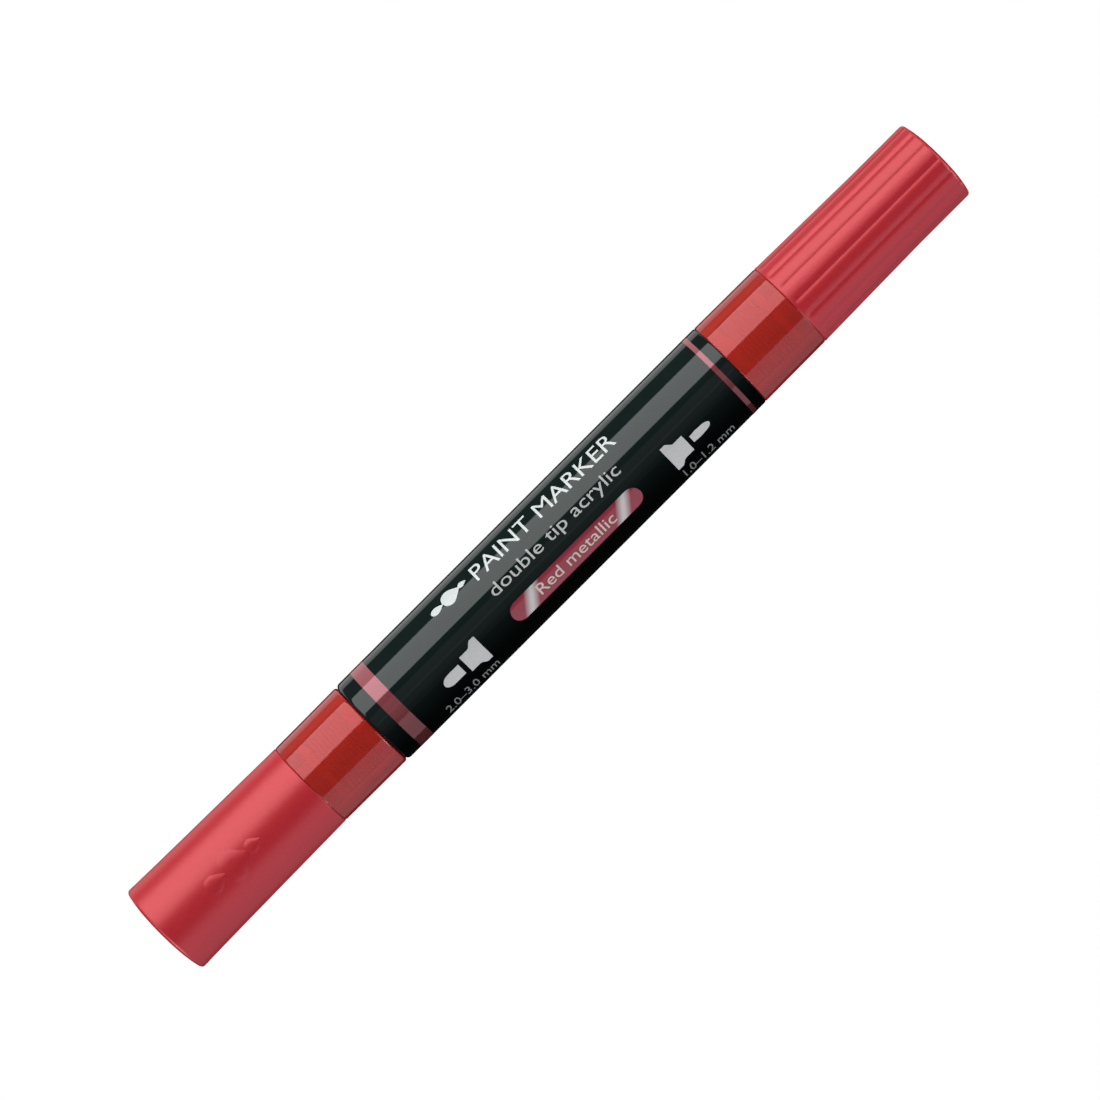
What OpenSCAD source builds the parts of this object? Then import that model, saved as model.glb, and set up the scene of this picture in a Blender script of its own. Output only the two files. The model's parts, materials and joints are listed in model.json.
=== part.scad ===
// Double-ended acrylic paint marker: a black printed barrel, a translucent red
// section at each end with its finned ink regulator, a broad round nib under a smooth
// cap at the -X end and a fine pointed nib under a reeded cap at the +X end.
// Millimetres. The marker lies along X on the plane z = 0, with the origin under the
// middle of its length. Turned pieces are drawn from the end face of the barrel
// outwards: their outlines are lists of [radius, distance out from that face].

/* [Barrel] */
// Outer diameter of the barrel
barrel_d = 13.6; // [11:0.1:17]
// Length of the barrel between its two end faces
barrel_len = 67.2; // [56:0.1:90]
// Wall of the barrel
barrel_wall = 1.0; // [0.8:0.05:1.3]
// Rounding of the barrel's edge at the broad end
barrel_broad_round = 0.5; // [0.2:0.05:0.6]
// Rounding of the barrel's edge at the fine end
barrel_fine_round = 0.25; // [0.1:0.05:0.6]

/* [Sections] */
// Visible length of the broad section, between barrel and cap
broad_collar_len = 11.4; // [9:0.1:15]
// Visible length of the fine section, between barrel and cap
fine_collar_len = 11.2; // [9:0.1:15]
// How far the broad section lies below the barrel's surface, beside the barrel
broad_collar_step = 0.08; // [0:0.01:0.2]
// How far the fine section lies below the barrel's surface, beside the barrel
fine_collar_step = 0.03; // [0:0.01:0.2]
// Further drop of a section's surface from the barrel to the cap
collar_taper = 0.06; // [0:0.01:0.2]
// Length of the spigot that holds a section in the barrel
spigot_len = 8.5; // [7.6:0.1:11]
// Length of the neck that the cap slides over
neck_len = 6.0; // [5:0.1:8]
// Wall of the neck
neck_wall = 0.85; // [0.7:0.05:1.1]
// Height of the two grip beads round the neck
bead_height = 0.15; // [0.08:0.01:0.25]

/* [Ink regulator] */
// Distance from one fin to the next
fin_pitch = 0.6; // [0.5:0.05:0.8]
// Thickness of a fin
fin_thick = 0.24; // [0.15:0.01:0.3]
// Number of fins in the front bank, seen through the section
front_fins = 9; // [6:1:9]
// Number of fins in the rear bank, inside the spigot
rear_fins = 9; // [6:1:10]
// Diameter of the stem that carries the fins
stem_d = 5.2; // [4.6:0.1:5.8]
// Diameter of the fibre rod that brings the ink forward
wick_d = 3.0; // [2.4:0.1:3.4]
// How far the fibre rod stands out into the ink chamber
wick_reach = 2.0; // [1:0.1:4]

/* [Nibs] */
// Diameter of the broad nib
broad_nib_d = 4.4; // [3.6:0.1:5]
// Radius of the broad nib's round tip
broad_tip_r = 1.25; // [1:0.05:1.5]
// Length over which the broad nib closes in to its tip
broad_point_len = 1.6; // [1:0.1:3]
// Diameter of the fine nib
fine_nib_d = 2.6; // [2.2:0.1:3.2]
// Radius of the fine nib's tip
fine_tip_r = 0.5; // [0.35:0.05:0.6]
// Length over which the fine nib closes in to its tip
fine_point_len = 3.4; // [2:0.1:3.9]
// How far a nib stands out of its holder
nib_reach = 5.8; // [4.5:0.1:7]
// Wall of a holder round its nib, at the front
holder_wall = 0.9; // [0.6:0.05:1.1]
// Length of a holder's straight front
holder_front_len = 3.0; // [2:0.1:4]
// Length of a holder's hollow shoulder
holder_shoulder_len = 3.0; // [2:0.1:4]

/* [Caps] */
// Length of the broad cap
broad_cap_len = 27.8; // [23.2:0.1:36]
// Length of the fine cap
fine_cap_len = 27.8; // [23.2:0.1:36]
// How far the broad cap's mouth lies below the barrel's surface
broad_mouth_step = 0.13; // [0:0.01:0.2]
// How far the fine cap's mouth lies below the barrel's surface
fine_mouth_step = 0.07; // [0:0.01:0.2]
// How far the broad cap's closed end stands above the barrel's surface
broad_end_flare = 0.30; // [0:0.01:0.6]
// How far the fine cap's closed end lies below the barrel's surface
fine_end_drop = 0.35; // [0:0.01:0.5]
// Share of the fine cap's length that narrows; the rest is straight
fine_taper_share = 0.65; // [0.4:0.05:0.8]
// Wall of a cap at its mouth
cap_wall = 0.85; // [0.7:0.05:1]
// Wall of a cap beyond its inner step
cap_deep_wall = 1.25; // [1.1:0.05:1.5]
// Thickness of a cap's closed end
cap_end_wall = 1.4; // [1.1:0.1:2]
// Share of a closed end's radius that is flat, so that the marker can stand on it
end_flat_share = 0.45; // [0.3:0.05:0.7]
// How far a closed end falls away from its flat to its edge
end_fall = 0.5; // [0.3:0.05:0.7]
// Rounding of the edge round a cap's closed end
end_edge_round = 0.5; // [0.2:0.05:0.7]
// Number of reeds round the fine cap
reeds = 16; // [12:1:22]
// Width of the groove between two reeds
reed_groove_width = 0.5; // [0.3:0.05:0.8]
// Depth of the groove between two reeds
reed_groove_depth = 0.2; // [0.1:0.02:0.3]
// Turn of a groove away from the cap's top line, in degrees
reed_turn = 1.5; // [0:0.5:22]
// Wall of an inner cap
inner_cap_wall = 0.8; // [0.6:0.05:0.9]
// Thickness of an inner cap's closed end
inner_cap_end = 0.9; // [0.6:0.1:1.5]

/* [Ink chambers] */
// Length of the plug that divides the barrel into two ink chambers
divider_len = 6.0; // [5:0.1:9]
// Wall of the plug's two skirts
divider_wall = 1.2; // [1:0.1:1.6]
// Diameter of a steel mixing ball
ball_d = 4.0; // [3:0.1:4.5]
// Width of a rubber sealing band
seal_width = 1.3; // [1:0.1:1.5]
// Thickness of a rubber sealing band
seal_thick = 0.5; // [0.3:0.05:0.55]

/* [Clearances] */
// Gap all round between two pieces that stay together
fit_gap = 0.02; // [0.01:0.01:0.04]
// Gap all round where a cap slides on a neck, or a ball in the barrel
slide_gap = 0.05; // [0.03:0.01:0.08]
// Gap between faces that come close but don't touch
face_gap = 0.15; // [0.1:0.05:0.3]

/* [Hidden] */

black = [0.05, 0.06, 0.06];
clear_red = [0.72, 0.16, 0.14];
metal_red = [0.78, 0.27, 0.30];
milky = [0.88, 0.86, 0.82];
fibre = [0.93, 0.90, 0.84];
ink_red = [0.62, 0.10, 0.14];
steel = [0.75, 0.76, 0.78];
silicone = [0.86, 0.86, 0.84];

facets = 96;
over = 0.5;
bore_chamfer = 0.25;
edge_round = 0.2;

// Radii that follow the barrel
barrel_r = barrel_d / 2;
bore_r = barrel_r - barrel_wall;
spigot_r = bore_r - fit_gap;
broad_mouth_r = barrel_r - broad_mouth_step;
fine_mouth_r = barrel_r - fine_mouth_step;
broad_end_r = barrel_r + broad_end_flare;
fine_end_r = barrel_r - fine_end_drop;

// The neck and its cap share one bore at both ends, set by the thinner cap mouth
mouth_bore_r = min(broad_mouth_r, fine_mouth_r) - cap_wall;
bead_r = mouth_bore_r - slide_gap;
neck_r = bead_r - bead_height;
section_bore_r = neck_r - neck_wall;
bead_len = 0.9;
bead_places = [0.3, 0.75];

// Distances out from the barrel's end face
broad_neck_end = broad_collar_len + neck_len;
fine_neck_end = fine_collar_len + neck_len;
flange_len = 1.2;
holder_spigot_len = 4.0;
holder_len = flange_len + holder_shoulder_len + holder_front_len;
flange_r = neck_r - 0.3;

// The regulator: a rear flange, a rear bank, a land, a front bank and a front flange
regulator_flange = 1.0;
front_bank_start = 2.6;
rear_bank_end = -0.6;
regulator_r = section_bore_r - fit_gap;
fin_r = regulator_r - 0.12;
land_r = regulator_r - 0.06;
regulator_rear = -spigot_len + 1.0;
vent_width = 0.5;
vent_depth = 0.9;

// Seal seats: a groove that the band fills out to the bore of the barrel
seal_from_mouth = 3.2;
groove_r = bore_r - seal_thick;

// The caps' insides: the mouth bore ends at a step, and a narrower bore follows. The
// inner cap's lip closes round the holder's flange, and ends where the hollow shoulder
// has fallen clear of the cup beyond it.
least_lip = 0.4;
step_past_lip = 0.4;
broad_deep_r = broad_mouth_r - cap_deep_wall;
fine_deep_r = fine_end_r - cap_deep_wall;
broad_lip_end = flange_len + lip_len(broad_nib_d, broad_deep_r);
fine_lip_end = flange_len + lip_len(fine_nib_d, fine_deep_r);

// Places along X
total_len = broad_cap_len + broad_collar_len + barrel_len + fine_collar_len + fine_cap_len;
barrel_x0 = -total_len / 2 + broad_cap_len + broad_collar_len;
barrel_x1 = barrel_x0 + barrel_len;
divider_x = (barrel_x0 + barrel_x1) / 2;
axis_z = max(barrel_r, broad_end_r);
wick_rear = regulator_rear - wick_reach;
ball_drop = bore_r - ball_d / 2 - slide_gap;

// Length of an inner cap's lip past the holder's flange
function lip_len(nib_d, deep_r) =
    let (
        front_r = nib_d / 2 + holder_wall,
        cup_bore_r = deep_r - fit_gap - inner_cap_wall,
        fall = (flange_r - cup_bore_r + slide_gap) / (flange_r - front_r)
    )
    max(least_lip, holder_shoulder_len * (1 - cos(asin(max(0, fall)))));

// Points along an arc round [r, u], from angle a to angle b
function arc(r, u, radius, a, b, steps = 5) = [
    for (i = [0 : steps])
        [r + radius * cos(a + (b - a) * i / steps), u + radius * sin(a + (b - a) * i / steps)]
];

// Outline of a cap's closed end: a rounded edge, a crowned ring and a flat middle
function crowned_end(end_r, end, steps = 5) =
    let (
        flat_r = end_r * end_flat_share,
        ring = end_r - flat_r,
        crown_r = (pow(ring, 2) + pow(end_fall, 2)) / (2 * end_fall),
        centre = end - crown_r,
        rise = sqrt(pow(crown_r - end_edge_round, 2) - pow(ring - end_edge_round, 2)),
        slope = atan2(rise, ring - end_edge_round)
    )
    concat(
        arc(end_r - end_edge_round, centre + rise, end_edge_round, 0, slope),
        [
            for (i = [1 : steps])
                let (a = slope + (90 - slope) * i / steps)
                    [flat_r + crown_r * cos(a), centre + crown_r * sin(a)]
        ],
        [[0, end]]
    );

// Outer radius of the broad cap at a share of its way to the closed end's rim: a straight
// cone with a last small flare
function broad_cap_r(share) =
    broad_mouth_r + (broad_end_r - broad_mouth_r) * (0.84 * share + 0.16 * pow(share, 6));

module turned(outline) {
    rotate_extrude($fn = facets) polygon(outline);
}

module at_fine_end() {
    translate([barrel_x1, 0, axis_z]) rotate([0, 90, 0]) children();
}

module at_broad_end() {
    translate([barrel_x0, 0, axis_z]) rotate([0, -90, 0]) children();
}

module along_barrel(x) {
    translate([x, 0, axis_z]) rotate([0, 90, 0]) children();
}

// A band of rubber in its seat, centred on a height
module seal_band(height) {
    turned([
        [groove_r, height - seal_width / 2],
        [bore_r, height - seal_width / 2],
        [bore_r, height + seal_width / 2],
        [groove_r, height + seal_width / 2]
    ]);
}

// A section: spigot with its seal groove, collar, and neck with two grip beads
module section_body(collar_len, rear_r, front_r, rear_round) {
    neck_end = collar_len + neck_len;
    turned(concat(
        [
            [section_bore_r, -spigot_len],
            [spigot_r - bore_chamfer, -spigot_len],
            [spigot_r, -spigot_len + bore_chamfer],
            [spigot_r, -seal_from_mouth - seal_width / 2],
            [groove_r, -seal_from_mouth - seal_width / 2],
            [groove_r, -seal_from_mouth + seal_width / 2],
            [spigot_r, -seal_from_mouth + seal_width / 2],
            [spigot_r, 0]
        ],
        arc(rear_r - rear_round, rear_round, rear_round, -90, 0),
        arc(front_r - edge_round, collar_len - edge_round, edge_round, 0, 90),
        [[neck_r, collar_len]],
        [
            for (place = bead_places)
                for (point = [[0, -0.5], [bead_height, -0.2], [bead_height, 0.2], [0, 0.5]])
                    [neck_r + point[0], collar_len + neck_len * place + point[1] * bead_len]
        ],
        [
            [neck_r, neck_end - bore_chamfer],
            [neck_r - bore_chamfer, neck_end],
            [section_bore_r, neck_end]
        ]
    ));
}

// One bank of fins: outline points that go out and back for each fin
function fin_bank(start, count) = [
    for (i = [0 : count - 1])
        for (point = [[stem_d / 2, 0], [fin_r, 0], [fin_r, fin_thick], [stem_d / 2, fin_thick]])
            [point[0], start + i * fin_pitch + point[1]]
];

// The ink regulator, with the slot that lets air back past its fins
module collector_body(neck_end) {
    rear_bank = rear_bank_end - (rear_fins - 1) * fin_pitch - fin_thick;
    front_bank_end = front_bank_start + (front_fins - 1) * fin_pitch + fin_thick;
    stem_end = neck_end - holder_spigot_len - face_gap;
    difference() {
        turned(concat(
            [
                [wick_d / 2 + fit_gap, regulator_rear],
                [regulator_r, regulator_rear],
                [regulator_r, regulator_rear + regulator_flange],
                [stem_d / 2, regulator_rear + regulator_flange]
            ],
            fin_bank(rear_bank, rear_fins),
            [
                [stem_d / 2, rear_bank_end + fin_pitch - fin_thick],
                [land_r, rear_bank_end + fin_pitch - fin_thick],
                [land_r, front_bank_start - fin_pitch],
                [stem_d / 2, front_bank_start - fin_pitch]
            ],
            fin_bank(front_bank_start, front_fins),
            [
                [stem_d / 2, front_bank_end + fin_pitch],
                [regulator_r, front_bank_end + fin_pitch],
                [regulator_r, front_bank_end + fin_pitch + regulator_flange],
                [stem_d / 2, front_bank_end + fin_pitch + regulator_flange],
                [stem_d / 2, stem_end],
                [wick_d / 2 + fit_gap, stem_end]
            ]
        ));
        translate([regulator_r - vent_depth, -vent_width / 2, regulator_rear - over])
            cube([vent_depth + over, vent_width, stem_end - regulator_rear + 2 * over]);
    }
}

// The fibre rod, from the ink chamber to the back of the nib
module wick_body(neck_end) {
    front = neck_end - holder_spigot_len;
    turned([
        [0, wick_rear],
        [wick_d / 2 - edge_round, wick_rear],
        [wick_d / 2, wick_rear + edge_round],
        [wick_d / 2, front],
        [0, front]
    ]);
}

// A nib holder: spigot in the section, flange, hollow shoulder and straight front
module holder_body(neck_end, nib_d) {
    front_r = nib_d / 2 + holder_wall;
    front_start = neck_end + flange_len + holder_shoulder_len;
    front_end = front_start + holder_front_len;
    shoulder_drop = flange_r - front_r;
    turned(concat(
        [
            [nib_d / 2 + fit_gap, neck_end - holder_spigot_len],
            [section_bore_r - fit_gap, neck_end - holder_spigot_len],
            [section_bore_r - fit_gap, neck_end],
            [flange_r, neck_end],
            [flange_r, neck_end + flange_len]
        ],
        [
            for (a = [0 : 15 : 90])
                [
                    flange_r - shoulder_drop * sin(a),
                    neck_end + flange_len + holder_shoulder_len * (1 - cos(a))
                ]
        ],
        [
            [front_r, front_end - edge_round],
            [front_r - edge_round, front_end],
            [nib_d / 2 + fit_gap, front_end]
        ]
    ));
}

// A nib: a fibre rod from the back of its holder, which closes in to a round tip
module nib_body(neck_end, nib_d, tip_r, point_len) {
    nib_r = nib_d / 2;
    rear = neck_end - holder_spigot_len;
    tip = neck_end + holder_len + nib_reach;
    turned(concat(
        [[0, rear], [nib_r, rear]],
        [
            for (i = [0 : 6])
                [
                    tip_r + (nib_r - tip_r) * cos(90 * i / 6),
                    tip - tip_r - point_len + point_len * sin(90 * i / 6)
                ]
        ],
        [for (a = [15 : 15 : 75]) [tip_r * cos(a), tip - tip_r + tip_r * sin(a)]],
        [[0, tip]]
    ));
}

// The space inside a cap shell: neck bore, step, deep bore
module cap_hollow(collar_len, cap_len, deep_r, lip_end) {
    step = collar_len + neck_len + lip_end + step_past_lip;
    turned([
        [0, collar_len - over],
        [mouth_bore_r + bore_chamfer, collar_len - over],
        [mouth_bore_r + bore_chamfer, collar_len],
        [mouth_bore_r, collar_len + bore_chamfer],
        [mouth_bore_r, step],
        [deep_r, step],
        [deep_r, collar_len + cap_len - cap_end_wall],
        [0, collar_len + cap_len - cap_end_wall]
    ]);
}

// An inner cap: a rim that seats on the shell's step and closes round the holder's
// flange, and a cup that keeps the nib moist
module inner_cap_body(collar_len, cap_len, deep_r, lip_end) {
    neck_end = collar_len + neck_len;
    step = neck_end + lip_end + step_past_lip;
    cup_r = deep_r - fit_gap;
    cup_end = collar_len + cap_len - cap_end_wall;
    turned([
        [flange_r + slide_gap, neck_end + face_gap],
        [mouth_bore_r - fit_gap, neck_end + face_gap],
        [mouth_bore_r - fit_gap, step],
        [cup_r, step],
        [cup_r, cup_end],
        [0, cup_end],
        [0, cup_end - inner_cap_end],
        [cup_r - inner_cap_wall, cup_end - inner_cap_end],
        [cup_r - inner_cap_wall, neck_end + lip_end],
        [flange_r + slide_gap, neck_end + lip_end]
    ]);
}

// The groove between two reeds: it follows the narrowing part and then the straight
// part, from a plain lip at the mouth out past the closed end
module reed_groove(lip) {
    start = fine_collar_len;
    end = fine_collar_len + fine_cap_len + over;
    bend = start + fine_cap_len * fine_taper_share;
    drop_per_mm = (fine_mouth_r - fine_end_r) / (bend - start);
    rotate([90, 0, 0])
        linear_extrude(height = reed_groove_width, center = true)
            polygon([
                [fine_mouth_r - drop_per_mm * lip - reed_groove_depth, start + lip],
                [fine_end_r - reed_groove_depth, bend],
                [fine_end_r - reed_groove_depth, end],
                [fine_mouth_r + over, end],
                [fine_mouth_r + over, start + lip]
            ]);
}

module barrel() {
    fine_round_start = barrel_len - barrel_fine_round;
    color(black) along_barrel(barrel_x0)
        turned(concat(
            [[bore_r + bore_chamfer, 0]],
            arc(barrel_r - barrel_broad_round, barrel_broad_round, barrel_broad_round, -90, 0),
            arc(barrel_r - barrel_fine_round, fine_round_start, barrel_fine_round, 0, 90),
            [
                [bore_r + bore_chamfer, barrel_len],
                [bore_r, barrel_len - bore_chamfer],
                [bore_r, bore_chamfer]
            ]
        ));
}

// A plug with a web in the middle, a skirt on each side and two seal grooves
module tank_divider() {
    half = divider_len / 2;
    web = 0.6;
    skirt_r = spigot_r - divider_wall;
    seat = half / 2;
    color(milky) along_barrel(divider_x)
        turned([
            [0, -web],
            [skirt_r, -web],
            [skirt_r, -half],
            [spigot_r, -half],
            [spigot_r, -seat - seal_width / 2],
            [groove_r, -seat - seal_width / 2],
            [groove_r, -seat + seal_width / 2],
            [spigot_r, -seat + seal_width / 2],
            [spigot_r, seat - seal_width / 2],
            [groove_r, seat - seal_width / 2],
            [groove_r, seat + seal_width / 2],
            [spigot_r, seat + seal_width / 2],
            [spigot_r, half],
            [skirt_r, half],
            [skirt_r, web],
            [0, web]
        ]);
}

module divider_seals() {
    color(silicone) along_barrel(divider_x)
        for (side = [-1, 1]) seal_band(side * divider_len / 4);
}

// The balls lie on the floor of the barrel, each at its chamber's end nearer the fine nib
module broad_mixing_ball() {
    color(steel)
        translate([divider_x - divider_len / 2 - ball_d / 2 - face_gap, 0, axis_z - ball_drop])
            sphere(d = ball_d, $fn = facets);
}

module fine_mixing_ball() {
    color(steel)
        translate([barrel_x1 + wick_rear - ball_d / 2 - face_gap, 0, axis_z - ball_drop])
            sphere(d = ball_d, $fn = facets);
}

module broad_section() {
    rear_r = barrel_r - broad_collar_step;
    color(clear_red) at_broad_end()
        section_body(broad_collar_len, rear_r, rear_r - collar_taper, edge_round + 0.1);
}

module fine_section() {
    rear_r = barrel_r - fine_collar_step;
    color(clear_red) at_fine_end()
        section_body(fine_collar_len, rear_r, rear_r - collar_taper, edge_round);
}

module broad_section_seal() {
    color(silicone) at_broad_end() seal_band(-seal_from_mouth);
}

module fine_section_seal() {
    color(silicone) at_fine_end() seal_band(-seal_from_mouth);
}

module broad_collector() {
    color(ink_red) at_broad_end() collector_body(broad_neck_end);
}

module fine_collector() {
    color(ink_red) at_fine_end() collector_body(fine_neck_end);
}

module broad_feed_wick() {
    color(fibre) at_broad_end() wick_body(broad_neck_end);
}

module fine_feed_wick() {
    color(fibre) at_fine_end() wick_body(fine_neck_end);
}

module broad_nib_holder() {
    color(black) at_broad_end() holder_body(broad_neck_end, broad_nib_d);
}

module fine_nib_holder() {
    color(black) at_fine_end() holder_body(fine_neck_end, fine_nib_d);
}

module broad_nib() {
    color(ink_red) at_broad_end() nib_body(broad_neck_end, broad_nib_d, broad_tip_r, broad_point_len);
}

module fine_nib() {
    color(ink_red) at_fine_end() nib_body(fine_neck_end, fine_nib_d, fine_tip_r, fine_point_len);
}

module broad_inner_cap() {
    color(milky) at_broad_end()
        inner_cap_body(broad_collar_len, broad_cap_len, broad_deep_r, broad_lip_end);
}

module fine_inner_cap() {
    color(milky) at_fine_end()
        inner_cap_body(fine_collar_len, fine_cap_len, fine_deep_r, fine_lip_end);
}

module broad_cap() {
    steps = 10;
    rim = broad_cap_len - end_fall;
    color(metal_red) at_broad_end()
        difference() {
            turned(concat(
                [[0, broad_collar_len]],
                arc(broad_mouth_r - edge_round, broad_collar_len + edge_round, edge_round, -90, 0),
                [
                    for (i = [1 : steps - 1])
                        [broad_cap_r(i / steps), broad_collar_len + rim * i / steps]
                ],
                crowned_end(broad_end_r, broad_collar_len + broad_cap_len)
            ));
            cap_hollow(broad_collar_len, broad_cap_len, broad_deep_r, broad_lip_end);
        }
}

module fine_cap() {
    lip = 0.5;
    start = fine_collar_len;
    end = start + fine_cap_len;
    color(metal_red) at_fine_end()
        difference() {
            turned(concat(
                [[0, start]],
                arc(fine_mouth_r - edge_round, start + edge_round, edge_round, -90, 0),
                [[fine_end_r, start + fine_cap_len * fine_taper_share]],
                crowned_end(fine_end_r, end)
            ));
            cap_hollow(fine_collar_len, fine_cap_len, fine_deep_r, fine_lip_end);
            for (i = [0 : reeds - 1])
                rotate([0, 0, 360 * i / reeds + reed_turn]) reed_groove(lip);
        }
}

barrel();
tank_divider();
divider_seals();
broad_mixing_ball();
fine_mixing_ball();
broad_section();
broad_section_seal();
broad_collector();
broad_feed_wick();
broad_nib_holder();
broad_nib();
broad_inner_cap();
broad_cap();
fine_section();
fine_section_seal();
fine_collector();
fine_feed_wick();
fine_nib_holder();
fine_nib();
fine_inner_cap();
fine_cap();
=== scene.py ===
import json
import math

import bpy
import mathutils
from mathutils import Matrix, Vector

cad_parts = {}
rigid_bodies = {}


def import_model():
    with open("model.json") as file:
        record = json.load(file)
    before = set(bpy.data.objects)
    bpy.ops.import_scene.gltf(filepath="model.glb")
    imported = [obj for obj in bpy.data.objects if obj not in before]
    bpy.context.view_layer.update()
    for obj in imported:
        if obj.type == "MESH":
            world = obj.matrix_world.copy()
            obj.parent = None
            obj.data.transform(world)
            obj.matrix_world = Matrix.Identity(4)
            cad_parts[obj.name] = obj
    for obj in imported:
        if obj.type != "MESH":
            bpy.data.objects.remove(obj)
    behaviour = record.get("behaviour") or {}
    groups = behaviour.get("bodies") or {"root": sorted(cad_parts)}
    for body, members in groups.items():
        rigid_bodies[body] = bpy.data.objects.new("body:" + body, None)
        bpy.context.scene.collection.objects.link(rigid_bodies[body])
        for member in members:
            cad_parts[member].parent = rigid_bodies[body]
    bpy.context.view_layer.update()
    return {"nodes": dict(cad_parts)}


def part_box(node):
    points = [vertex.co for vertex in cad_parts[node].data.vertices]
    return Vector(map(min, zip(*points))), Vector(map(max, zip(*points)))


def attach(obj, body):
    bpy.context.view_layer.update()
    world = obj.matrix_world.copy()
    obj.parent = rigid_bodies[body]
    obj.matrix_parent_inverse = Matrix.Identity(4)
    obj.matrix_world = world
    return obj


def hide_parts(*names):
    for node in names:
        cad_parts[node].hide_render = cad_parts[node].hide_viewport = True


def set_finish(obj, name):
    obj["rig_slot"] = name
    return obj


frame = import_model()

# Double-ended acrylic paint marker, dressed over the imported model. The marker lies along X.
# The broad nib is at the -X end and the fine nib at the +X end. Metres everywhere, except
# where a name ends in _MM.

nodes = frame["nodes"]


# ---------------------------------------------------------------- places from the frame

barrel_low, barrel_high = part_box("barrel")
broad_cap_low, broad_cap_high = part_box("broad_cap")
fine_cap_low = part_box("fine_cap")[0]

AXIS_Z = (barrel_low.z + barrel_high.z) / 2
BARREL_R = (barrel_high.z - barrel_low.z) / 2
BROAD_END_X = barrel_low.x
FINE_END_X = barrel_high.x
MM = 0.001


def broad_x(out_mm):
    """X of a place that lies out_mm beyond the barrel's broad end."""
    return BROAD_END_X - out_mm * MM


def fine_x(out_mm):
    """X of a place that lies out_mm beyond the barrel's fine end."""
    return FINE_END_X + out_mm * MM


# ---------------------------------------------------------------- camera

# Straight above the marker, and turned so that the marker lies on the diagonal.
VIEW_HEIGHT = 0.78
VIEW_TURN_DEG = -45
VIEW_CENTRE = (-0.000525, -0.000475)
camera_data = bpy.data.cameras.new("camera")
camera_data.sensor_width = 36.0
camera_data.lens = 192.47
camera_data.clip_end = 10.0
camera = bpy.data.objects.new("camera", camera_data)
camera.location = (*VIEW_CENTRE, AXIS_Z + VIEW_HEIGHT)
camera.rotation_euler = (0, 0, math.radians(VIEW_TURN_DEG))
bpy.context.scene.collection.objects.link(camera)
bpy.context.scene.camera = camera


# ---------------------------------------------------------------- modelling helpers

def deselect_objects():
    """Leaves no object selected, because an operator acts on all that is."""
    bpy.ops.object.select_all(action="DESELECT")


def pick(piece):
    """Makes one object the selected and active one."""
    deselect_objects()
    piece.select_set(True)
    bpy.context.view_layer.objects.active = piece


def apply_place(piece):
    """Moves the object's place, turn and scale into its mesh."""
    pick(piece)
    bpy.ops.object.transform_apply(location=True, rotation=True, scale=True)


def smooth(piece, angle=32):
    """Shades a piece smooth, but keeps edges sharper than an angle in degrees."""
    pick(piece)
    bpy.ops.object.shade_smooth_by_angle(angle=math.radians(angle))


def select_vertices(piece, wanted):
    """Selects only the vertices whose place passes the test."""
    pick(piece)
    bpy.ops.object.mode_set(mode="EDIT")
    bpy.ops.mesh.select_mode(type="VERT")
    bpy.ops.mesh.select_all(action="DESELECT")
    bpy.ops.object.mode_set(mode="OBJECT")
    for vertex in piece.data.vertices:
        vertex.select = wanted(vertex.co)


def apply_modifier(piece, kind, **settings):
    """Adds a modifier with its settings and applies it at once."""
    pick(piece)
    modifier = piece.modifiers.new(kind.lower(), kind)
    for key, value in settings.items():
        setattr(modifier, key, value)
    bpy.ops.object.modifier_apply(modifier=modifier.name)


def start_vertex(name, x, y, z):
    """A new object of one selected vertex, in edit mode."""
    deselect_objects()
    bpy.ops.mesh.primitive_plane_add(size=MM, location=(x, y, z))
    piece = bpy.context.object
    piece.name = name
    piece.data.name = name
    bpy.ops.object.mode_set(mode="EDIT")
    bpy.ops.mesh.select_mode(type="VERT")
    bpy.ops.mesh.select_all(action="SELECT")
    bpy.ops.mesh.merge(type="CENTER")
    return piece


def turned_piece(name, outline, steps=160):
    """Spins an outline of (radius in mm, x in metres) points about the marker's axis."""
    radius, x = outline[0]
    piece = start_vertex(name, x, 0, AXIS_Z + radius * MM)
    for next_radius, next_x in outline[1:]:
        move = (next_x - x, 0, (next_radius - radius) * MM)
        bpy.ops.mesh.extrude_region_move(TRANSFORM_OT_translate={"value": move})
        radius, x = next_radius, next_x
    bpy.ops.mesh.select_all(action="SELECT")
    bpy.ops.mesh.remove_doubles(threshold=1e-7)
    bpy.ops.mesh.select_all(action="SELECT")
    bpy.ops.mesh.spin(steps=steps, angle=2 * math.pi, center=(0, 0, AXIS_Z), axis=(1, 0, 0))
    bpy.ops.mesh.select_all(action="SELECT")
    bpy.ops.mesh.remove_doubles(threshold=1e-6)
    bpy.ops.mesh.normals_make_consistent(inside=False)
    bpy.ops.object.mode_set(mode="OBJECT")
    apply_place(piece)
    smooth(piece)
    return piece


def arc(radius_centre, out_centre, radius, start, end, steps=6):
    """Outline points round a rounded edge, from one angle to another, in degrees."""
    points = []
    for i in range(steps + 1):
        a = math.radians(start + (end - start) * i / steps)
        points.append((radius_centre + radius * math.cos(a), out_centre + radius * math.sin(a)))
    return points


def outward(end_x, outline):
    """Turns outline distances from the barrel's end face into places along X."""
    return [(radius, end_x(out)) for radius, out in outline]


# ---------------------------------------------------------------- materials

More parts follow.
